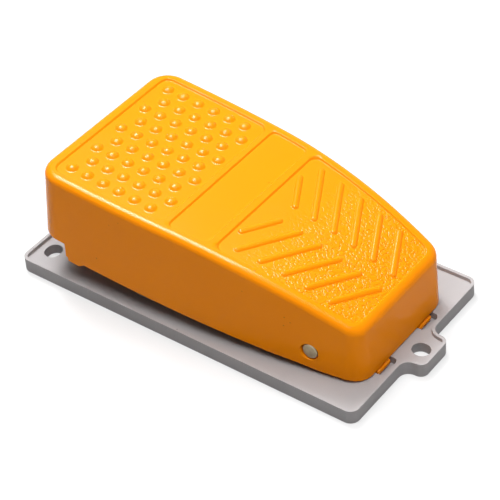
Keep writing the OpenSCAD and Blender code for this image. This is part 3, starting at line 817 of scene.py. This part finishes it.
def paint_shade_group():
    """Colour of a paint that varies softly, with dust specks and rubbed edges."""
    group, given, leave = new_group(
        "Paint Shade",
        {
            "Color": (0.8, 0.8, 0.8, 1), "Deep Color": (0.5, 0.5, 0.5, 1),
            "Rubbed Color": (0.9, 0.9, 0.9, 1), "Speck Color": (0.1, 0.1, 0.1, 1),
            "Variation": 0.3, "Specks": 0.5, "Rub": 0.5,
        },
        {"Color": "Color", "Rough Mask": "Float"},
    )
    at = node(group, "TexCoord").outputs["Object"]
    cloud = remap(group, noise(group, at, 32.0, 4.0, 0.55), 0.3, 0.75)
    deep = calc(group, "MULTIPLY", cloud, given["Variation"])
    shade = mixed(group, deep, given["Color"], given["Deep Color"])
    dots = node(group, "TexVoronoi", Vector=at, Scale=210.0, Randomness=1.0).outputs["Distance"]
    rare = remap(group, noise(group, at, 70.0, 1.0), 0.58, 0.62)
    speck = calc(group, "MULTIPLY", remap(group, dots, 0.085, 0.05), rare)
    speck = calc(group, "MULTIPLY", speck, given["Specks"])
    shade = mixed(group, speck, shade, given["Speck Color"])
    worn = remap(group, node(group, "NewGeometry").outputs["Pointiness"], 0.52, 0.60)
    broken = remap(group, noise(group, at, 240.0, 3.0, 0.7), 0.45, 0.62)
    rub = calc(group, "MULTIPLY", calc(group, "MULTIPLY", worn, broken), given["Rub"])
    feed(group, leave, Color=mixed(group, rub, shade, given["Rubbed Color"]), Rough_Mask=cloud)
    return group


def metal_grain_group():
    """Fine scratches and stains of plated or rolled metal."""
    group, given, leave = new_group(
        "Metal Grain",
        {"Color": (0.7, 0.7, 0.7, 1), "Stain": (0.4, 0.4, 0.4, 1), "Amount": 0.5},
        {"Color": "Color", "Roughness": "Float", "Height": "Float"},
    )
    at = node(group, "TexCoord").outputs["Object"]
    drawn = node(group, "Mapping", Vector=at, Scale=(400.0, 2600.0, 900.0)).outputs[0]
    cloud = noise(group, at, 180.0, 4.0, 0.6)
    part = calc(group, "MULTIPLY", remap(group, cloud, 0.4, 0.75), given["Amount"])
    feed(
        group, leave, Color=mixed(group, part, given["Color"], given["Stain"]),
        Roughness=between(group, cloud, 0.26, 0.5), Height=noise(group, drawn, 1.0, 4.0),
    )
    return group


GROUP_BUILDERS = {"grain": cast_grain_group, "shade": paint_shade_group, "metal": metal_grain_group}
GROUPS = {}


def placed(tree, kind, **values):
    """A shared group placed in a material with its own values. The group is made when it is first needed."""
    if kind not in GROUPS:
        GROUPS[kind] = GROUP_BUILDERS[kind]()
    made = tree.nodes.new("ShaderNodeGroup")
    made.node_tree = GROUPS[kind]
    feed(tree, made, **values)
    return made.outputs


# ---- Finishes ----


def new_material(name):
    """A material, its node tree and its shader."""
    material = bpy.data.materials.new(name)
    material.use_nodes = True
    return material, material.node_tree, material.node_tree.nodes["Principled BSDF"]


def rgba(color, share=1.0):
    """A colour as a socket takes it, darkened to a share of its light."""
    return (*(c * share for c in color), 1.0)


def bump(tree, strength, height, surface):
    """Normals of a surface with a height, in millimetres."""
    return node(tree, "Bump", Strength=strength, Distance=height * MM, Height=surface["Height"]).outputs[0]


def paint(name, color, deep, rubbed, roughness, gloss, height, shade, grain):
    """Paint over a casting."""
    material, tree, shader = new_material(name)
    shade = placed(
        tree, "shade", Color=rgba(color), Deep_Color=rgba(deep), Rubbed_Color=rgba(rubbed),
        Speck_Color=rgba(deep, 0.35), **shade,
    )
    feed(
        tree, shader, Base_Color=shade["Color"],
        Roughness=between(tree, shade["Rough Mask"], roughness * 0.85, roughness * 1.2),
        Normal=bump(tree, 1.0, height, placed(tree, "grain", **grain)), Specular_IOR_Level=gloss,
    )
    return material


def metal(name, color, stain, amount):
    """Bare or plated metal."""
    material, tree, shader = new_material(name)
    grain = placed(tree, "metal", Color=color, Stain=stain, Amount=amount)
    feed(
        tree, shader, Base_Color=grain["Color"], Roughness=grain["Roughness"], Metallic=1.0,
        Normal=bump(tree, 0.6, 0.01, grain),
    )
    return material


def moulded(name, color, depth, roughness):
    """Moulded plastic or rubber, whose deeper shade has a share of its colour's light."""
    material, tree, shader = new_material(name)
    deep = rgba(color, depth)
    shade = placed(
        tree, "shade", Color=rgba(color), Deep_Color=deep, Speck_Color=deep,
        Rubbed_Color=rgba([min(1, c * 1.8 + 0.02) for c in color]), Variation=0.5, Specks=0.2, Rub=0.4,
    )
    feed(
        tree, shader, Base_Color=shade["Color"],
        Roughness=between(tree, shade["Rough Mask"], roughness * 0.9, roughness * 1.15),
        Normal=bump(tree, 0.7, 0.02, placed(tree, "grain", Peel=0.4, Pits=0.8)),
    )
    return material


FINISHES = {}


def finish_of(kind):
    """The material of a finish, made when it is first needed."""
    if kind in FINISHES:
        return FINISHES[kind]
    p = bpy.context.scene.foot_switch_finish
    amber = (p.amber, p.amber_deep, p.amber_rubbed)
    grey = (p.grey, p.grey_deep, p.grey_rubbed)
    recipes = {
        "amber_paint": lambda n: paint(
            n, *amber, 0.19, 0.06, 0.03, dict(Variation=0.35, Specks=0.5, Rub=0.25),
            dict(Peel=0.5, Pits=0.12),
        ),
        "amber_wrinkle": lambda n: paint(
            n, *amber, 0.23, 0.06, 0.18, dict(Variation=0.4, Specks=0.4, Rub=0.3),
            dict(Peel=0.15, Pits=0.05, Wrinkles=1.0, Wrinkle_Start=0.031),
        ),
        "grey_paint": lambda n: paint(
            n, *grey, 0.6, 0.03, 0.08, dict(Variation=0.5, Specks=0.5, Rub=0.35),
            dict(Peel=0.5, Pits=0.6),
        ),
        "zinc_steel": lambda n: metal(n, rgba(p.zinc), rgba(p.zinc_stain), 0.9),
        "sheet_steel": lambda n: metal(n, rgba(p.steel), rgba(p.steel, 0.55), 0.35),
        "spring_steel": lambda n: metal(n, rgba(p.steel, 0.7), rgba(p.steel, 0.3), 0.5),
        "bronze": lambda n: metal(n, rgba(p.bronze), rgba(p.bronze, 0.5), 0.6),
        "brass": lambda n: metal(n, rgba(p.brass), rgba(p.brass, 0.5), 0.4),
        "black_plastic": lambda n: moulded(n, p.plastic, 0.5, 0.5),
        "phenolic": lambda n: moulded(n, p.phenolic, 0.5, 0.35),
        "nylon": lambda n: moulded(n, p.nylon, 0.8, 0.45),
        "red_plastic": lambda n: moulded(n, p.plunger, 0.6, 0.4),
        "rubber": lambda n: moulded(n, p.rubber, 0.5, 0.75),
    }
    FINISHES[kind] = recipes[kind](kind + "_finish")
    return FINISHES[kind]


# ---- Pieces ----

# The finish of each CAD node, and how far its edges are rounded, in millimetres
BASE_NODES = {"base_casting": ("grey_paint", 0.45)}
COVER_NODES = {
    "compartment_cover": ("sheet_steel", 0.2),
    "compartment_gasket": ("rubber", 0.1),
    "cover_screws": ("zinc_steel", 0.15),
    "earth_washer": ("brass", 0.06),
    "earth_screw": ("brass", 0.12),
}
SWITCH_NODES = {
    "switch_bracket": ("sheet_steel", 0.15),
    "bracket_screws": ("zinc_steel", 0.12),
    "switch_case": ("phenolic", 0.2),
    "switch_cover": ("phenolic", 0.15),
    "switch_screws": ("zinc_steel", 0.1),
    "switch_nuts": ("zinc_steel", 0.1),
    "switch_terminals": ("brass", 0.08),
    "switch_lever": ("sheet_steel", 0.06),
    "switch_plunger": ("red_plastic", 0.1),
    "lever_pin": ("sheet_steel", 0.06),
}
GLAND_NODES = {
    "gland_body": ("black_plastic", 0.2),
    "gland_locknut": ("black_plastic", 0.2),
    "gland_seal": ("rubber", 0.15),
    "gland_cap": ("black_plastic", 0.3),
}
HINGE_NODES = {
    "hinge_bushes": ("bronze", 0.12),
    "pin_clips": ("spring_steel", 0.08),
    "thrust_washers": ("nylon", 0.1),
    "actuator_screw": ("zinc_steel", 0.2),
    "actuator_locknut": ("zinc_steel", 0.2),
}


def modify(piece, name, kind, **settings):
    """Adds a modifier with its settings."""
    made = piece.modifiers.new(name, kind)
    for key, value in settings.items():
        setattr(made, key, value)


def finish_nodes(nodes):
    """Gives CAD nodes their materials and softens their edges."""
    for name, (kind, soft) in nodes.items():
        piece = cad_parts[name]
        piece.data.materials.clear()
        piece.data.materials.append(finish_of(kind))
        modify(piece, "Weld", "WELD", merge_threshold=0.01 * MM)
        modify(piece, "Flat", "DECIMATE", decimate_type="DISSOLVE", angle_limit=math.radians(0.6))
        modify(
            piece, "Edges", "BEVEL", width=soft * MM, segments=2, limit_method="ANGLE",
            angle_limit=math.radians(32), use_clamp_overlap=True, miter_outer="MITER_ARC",
        )
        modify(piece, "Normals", "WEIGHTED_NORMAL", mode="FACE_AREA", weight=50)
        for f in piece.data.polygons:
            f.use_smooth = True


def build_pedal(p):
    """The pedal's casting as one skin, with its ribs and its hubs and spring seats as further pieces."""
    sizes = ("dome_width", "dome_height", "bar_height", "panel_edge", "lip")
    look = SimpleNamespace(**{size: getattr(p, size) / MM for size in sizes})
    amber = finish_of("amber_paint")
    skin = Skin()
    edge, under = build_shell(skin, look)
    build_deck(skin, edge, look)
    build_ceiling(skin, under)
    shell = skin.object("pedal_shell", [amber, finish_of("amber_wrinkle")], rest_place())
    finish_chevron(shell)
    skin = Skin()
    build_under(skin)
    ribs = skin.object("pedal_ribs", [amber], rest_place())
    skin = Skin()
    build_hubs(skin)
    hubs = skin.object("pedal_hubs", [amber])
    for piece in (shell, ribs, hubs):
        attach(piece, "pedal")
    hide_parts("pedal_casting")


def build_hinge():
    """The pin, with the CAD nodes round it."""
    skin = Skin()
    build_pin(skin)
    pin = skin.object("pin", [finish_of("zinc_steel")])
    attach(pin, "pedal")
    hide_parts("hinge_pin")
    finish_nodes(HINGE_NODES)


def build_springs(p):
    """The two return springs."""
    low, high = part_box("return_springs")
    width, wire = p.coil_width / MM, p.coil_wire / MM
    x, side = (low.x + high.x) / 2 / MM, high.y / MM - width / 2
    piece = coil_mesh(
        "return_coils", [(x, -side), (x, side)], low.z / MM, high.z / MM, wire, p.coil_turns,
        width / 2 - wire / 2, finish_of("spring_steel"),
    )
    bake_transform(piece)
    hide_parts("return_springs")


# ---- Camera and light ----

# The camera's turn round the part, its height and its roll in degrees, and where it stands from the
# frame's origin, to its right, up and back, in millimetres
CAMERA_TURN, CAMERA_HEIGHT, CAMERA_ROLL = 38.836, 40.6512, 4.0195
CAMERA_OFFSET = (1.5454, 12.5443, 793.936)
CAMERA_LENS = 136.1812968
MIDDLE = (0, 0, 0.03)
FLOOR_GLOW = 0.47


def aim_camera():
    """The camera, at its place round the part."""
    turn, up, roll = (math.radians(a) for a in (CAMERA_TURN, CAMERA_HEIGHT, CAMERA_ROLL))
    back = Vector((math.sin(turn) * math.cos(up), -math.cos(turn) * math.cos(up), math.sin(up)))
    right = Vector((math.cos(turn), math.sin(turn), 0))
    tilt = (Matrix.Rotation(roll, 3, "Z") @ Matrix((right, back.cross(right), back))).transposed()
    data = bpy.data.cameras.new("camera")
    data.sensor_width = 36
    data.lens = CAMERA_LENS
    data.clip_start, data.clip_end = 0.01, 20
    camera = linked("camera", data)
    camera.matrix_world = Matrix.Translation(tilt @ Vector(CAMERA_OFFSET) * MM) @ tilt.to_4x4()
    bpy.context.scene.camera = camera


def seen_rays(tree):
    """1 for what the camera sees directly, mirrored or through something clear, and 0 for other light."""
    path = node(tree, "LightPath").outputs
    seen = calc(tree, "ADD", path["Is Camera Ray"], path["Is Glossy Ray"])
    clear = path["Is Transmission Ray"]
    return node(tree, "Math", _operation="ADD", _use_clamp=True, i0=seen, i1=clear).outputs[0]


def floor_material(p):
    """Pale floor that reads white where nothing shades it."""
    material, tree, shader = new_material("floor_paper")
    grain = noise(tree, node(tree, "TexCoord").outputs["Object"], 40.0, 4.0)
    color = mixed(tree, grain, rgba(p.floor), rgba(p.floor, 0.985))
    feed(tree, shader, Base_Color=color, Roughness=0.9, Specular_IOR_Level=0.1)
    dark = node(tree, "Emission", Color=rgba((0, 0, 0)), Strength=0.0).outputs[0]
    glow = node(tree, "Emission", Color=rgba((1, 1, 1)), Strength=FLOOR_GLOW).outputs[0]
    lift = node(tree, "MixShader", i0=seen_rays(tree), i1=dark, i2=glow).outputs[0]
    total = node(tree, "AddShader", i0=shader.outputs[0], i1=lift).outputs[0]
    feed(tree, tree.nodes["Material Output"], Surface=total)
    return material


def build_floor(p, reach=3.0):
    """The floor, which isn't part of the object."""
    mesh = bpy.data.meshes.new("floor")
    corners = [(-reach, -reach, 0), (reach, -reach, 0), (reach, reach, 0), (-reach, reach, 0)]
    mesh.from_pydata(corners, [], [(0, 1, 2, 3)])
    mesh.materials.append(floor_material(p))
    linked("floor", mesh)


def build_sky(p):
    """Light from all round, which the camera sees as white."""
    world = bpy.data.worlds.new("studio")
    world.use_nodes = True
    tree = world.node_tree
    strength = between(tree, seen_rays(tree), p.fill, 1.0)
    feed(tree, tree.nodes["Background"], Color=rgba((1, 1, 1)), Strength=strength)
    bpy.context.scene.world = world


def area_light(name, place, target, width, length, power, shine_only=False):
    """A softbox at a place, turned to a target. One that is for shine lights only what is glossy."""
    data = bpy.data.lights.new(name, "AREA")
    data.shape = "RECTANGLE"
    data.size, data.size_y = width, length
    data.energy = power
    lamp = linked(name, data)
    lamp.location = place
    lamp.rotation_euler = (Vector(target) - Vector(place)).to_track_quat("-Z", "Y").to_euler()
    lamp.visible_diffuse = not shine_only


def build_stage(p):
    """Camera, floor and lights."""
    aim_camera()
    build_floor(p)
    build_sky(p)
    area_light("key", (-0.36, 0.24, 0.8), MIDDLE, 0.3, 0.3, p.key)
    area_light("top", (0.2, -0.12, 0.9), (0.2, -0.12, 0), 0.9, 0.65, p.top)
    area_light("shine", (-0.3, 0.08, 0.9), (-0.3, 0.08, 0), 0.55, 0.62, p.shine, shine_only=True)
    area_light("side", (0.9, -0.55, 0.35), MIDDLE, 0.5, 0.5, p.side)
    bpy.context.scene.view_settings.view_transform = "Standard"


# ---- Properties, operators and panel ----


def length_prop(name, text, value, low, high):
    """A size that a user sees in the scene's units, from values in millimetres."""
    return bpy.props.FloatProperty(
        name=name, description=text, default=value * MM, min=low * MM, max=high * MM, unit="LENGTH",
        precision=5,
    )


def power_prop(name, text, value):
    """The power of a light, in watts."""
    return bpy.props.FloatProperty(name=name, description=text, default=value, min=0, unit="POWER")


def color_prop(name, text, value):
    """The colour of a finish."""
    return bpy.props.FloatVectorProperty(
        name=name, description=text, default=value, size=3, min=0, max=1, subtype="COLOR",
    )


class FootSwitchShape(bpy.types.PropertyGroup):
    """Sizes of the pedal's relief and of the springs"""

    dome_width: length_prop("Dome width", "Width of each round stud at its foot", 5.2, 4, 6)
    dome_height: length_prop("Dome height", "Height of each round stud", 1.45, 0.6, 1.6)
    bar_height: length_prop("Bar height", "Height of the slanting bars", 1.0, 0.4, 1.1)
    panel_edge: length_prop("Panel edge", "Width over which a panel's edge is rounded", 0.8, 0.3, 1.2)
    lip: length_prop("Skirt lip", "Rounding of the skirt's lower edge", 0.6, 0.2, 1.0)
    coil_width: length_prop("Spring width", "Outside width of the return springs", 14, 12, 16)
    coil_wire: length_prop("Spring wire", "Thickness of the springs' wire", 1.8, 1.2, 2.2)
    coil_turns: bpy.props.FloatProperty(
        name="Spring turns", description="Free turns of each spring", default=6, min=3, max=9,
    )


class FootSwitchFinish(bpy.types.PropertyGroup):
    """Colours of the finishes"""

    amber: color_prop("Amber", "Gloss paint of the pedal", (0.95, 0.275, 0.002))
    amber_deep: color_prop("Deep amber", "Where the pedal's paint lies thicker", (0.92, 0.25, 0.0015))
    amber_rubbed: color_prop("Rubbed amber", "Where the pedal's paint is rubbed thin", (0.95, 0.5, 0.12))
    grey: color_prop("Grey", "Paint of the base", (0.41, 0.393, 0.396))
    grey_deep: color_prop("Deep grey", "Where the base's paint lies thicker", (0.36, 0.343, 0.346))
    grey_rubbed: color_prop("Rubbed grey", "Where the base's paint is rubbed thin", (0.45, 0.44, 0.44))
    zinc: color_prop("Zinc", "Yellow zinc plating of pin and screws", (0.46, 0.4, 0.27))
    zinc_stain: color_prop("Zinc stain", "Darker patches of the plating", (0.24, 0.2, 0.13))
    steel: color_prop("Steel", "Bright sheet steel and spring wire", (0.6, 0.6, 0.6))
    bronze: color_prop("Bronze", "Sintered bushes", (0.45, 0.28, 0.12))
    brass: color_prop("Brass", "Terminals and earth screw", (0.72, 0.5, 0.2))
    plastic: color_prop("Black plastic", "Cable gland", (0.02, 0.02, 0.022))
    phenolic: color_prop("Phenolic", "Case of the switch", (0.028, 0.024, 0.022))
    nylon: color_prop("Nylon", "Washers of the hinge", (0.75, 0.73, 0.66))
    plunger: color_prop("Plunger", "Button of the switch", (0.45, 0.05, 0.025))
    rubber: color_prop("Rubber", "Seal and gasket", (0.014, 0.014, 0.015))


class FootSwitchStage(bpy.types.PropertyGroup):
    """Light and floor"""

    floor: color_prop("Floor", "Colour of the floor", (0.42, 0.42, 0.42))
    key: power_prop("Key light", "Power of the softbox behind the heel", 6.6)
    top: power_prop("Top light", "Power of the large overhead light", 9.7)
    shine: power_prop("Shine", "Power of the softbox that only the gloss shows", 72)
    side: power_prop("Side light", "Power of the light from the toe", 0.1)
    fill: bpy.props.FloatProperty(
        name="Fill", description="Strength of the light from all round", default=0.1, min=0, max=2,
    )


class FOOT_SWITCH_OT_stage(bpy.types.Operator):
    """Add the camera, the floor and the lights"""

    bl_idname = "foot_switch.stage"
    bl_label = "Stage"

    def execute(self, context):
        build_stage(context.scene.foot_switch_stage)
        return {"FINISHED"}


class FOOT_SWITCH_OT_base(bpy.types.Operator):
    """Finish the cast base"""

    bl_idname = "foot_switch.base"
    bl_label = "Base"

    def execute(self, context):
        finish_nodes(BASE_NODES)
        return {"FINISHED"}


class FOOT_SWITCH_OT_pedal(bpy.types.Operator):
    """Build the amber pedal"""

    bl_idname = "foot_switch.pedal"
    bl_label = "Pedal"

    def execute(self, context):
        build_pedal(context.scene.foot_switch_shape)
        return {"FINISHED"}


class FOOT_SWITCH_OT_springs(bpy.types.Operator):
    """Build the return springs"""

    bl_idname = "foot_switch.springs"
    bl_label = "Return springs"

    def execute(self, context):
        build_springs(context.scene.foot_switch_shape)
        return {"FINISHED"}


class FOOT_SWITCH_OT_hinge(bpy.types.Operator):
    """Finish the hinge pin, its bushes and clips, and the actuator screw"""

    bl_idname = "foot_switch.hinge"
    bl_label = "Hinge"

    def execute(self, context):
        build_hinge()
        return {"FINISHED"}


class FOOT_SWITCH_OT_cover(bpy.types.Operator):
    """Finish the compartment's cover, its gasket and screws, and the earth screw"""

    bl_idname = "foot_switch.cover"
    bl_label = "Compartment cover"

    def execute(self, context):
        finish_nodes(COVER_NODES)
        return {"FINISHED"}


class FOOT_SWITCH_OT_snap_switch(bpy.types.Operator):
    """Finish the snap-action switch and its bracket"""

    bl_idname = "foot_switch.snap_switch"
    bl_label = "Switch"

    def execute(self, context):
        finish_nodes(SWITCH_NODES)
        return {"FINISHED"}


class FOOT_SWITCH_OT_gland(bpy.types.Operator):
    """Finish the cable gland"""

    bl_idname = "foot_switch.gland"
    bl_label = "Cable gland"

    def execute(self, context):
        finish_nodes(GLAND_NODES)
        return {"FINISHED"}


OPERATORS = (
    FOOT_SWITCH_OT_stage, FOOT_SWITCH_OT_base, FOOT_SWITCH_OT_pedal, FOOT_SWITCH_OT_springs,
    FOOT_SWITCH_OT_hinge, FOOT_SWITCH_OT_cover, FOOT_SWITCH_OT_snap_switch, FOOT_SWITCH_OT_gland,
)
SETTINGS = {
    "foot_switch_shape": FootSwitchShape,
    "foot_switch_finish": FootSwitchFinish,
    "foot_switch_stage": FootSwitchStage,
}


class FOOT_SWITCH_PT_panel(bpy.types.Panel):
    """Builds the foot switch and holds its sizes and colours"""

    bl_label = "Foot Switch"
    bl_idname = "FOOT_SWITCH_PT_panel"
    bl_space_type = "VIEW_3D"
    bl_region_type = "UI"
    bl_category = "Foot Switch"

    def draw(self, context):
        """Buttons of the steps, and the settings"""
        for operator in OPERATORS:
            self.layout.operator(operator.bl_idname)
        for setting, group in SETTINGS.items():
            box = self.layout.box()
            for prop in group.__annotations__:
                box.prop(getattr(context.scene, setting), prop)


def register():
    """Adds the settings, the operators and the panel."""
    for group in (*SETTINGS.values(), *OPERATORS, FOOT_SWITCH_PT_panel):
        bpy.utils.register_class(group)
    for setting, group in SETTINGS.items():
        setattr(bpy.types.Scene, setting, bpy.props.PointerProperty(type=group))


def unregister():
    """Takes them away again."""
    for setting in SETTINGS:
        delattr(bpy.types.Scene, setting)
    for group in (FOOT_SWITCH_PT_panel, *OPERATORS[::-1], *SETTINGS.values()):
        bpy.utils.unregister_class(group)


def main():
    """Builds the foot switch."""
    register()
    bpy.ops.foot_switch.stage()
    bpy.ops.foot_switch.base()
    bpy.ops.foot_switch.pedal()
    bpy.ops.foot_switch.springs()
    bpy.ops.foot_switch.hinge()
    bpy.ops.foot_switch.cover()
    bpy.ops.foot_switch.snap_switch()
    bpy.ops.foot_switch.gland()


if __name__ == "__main__":
    main()
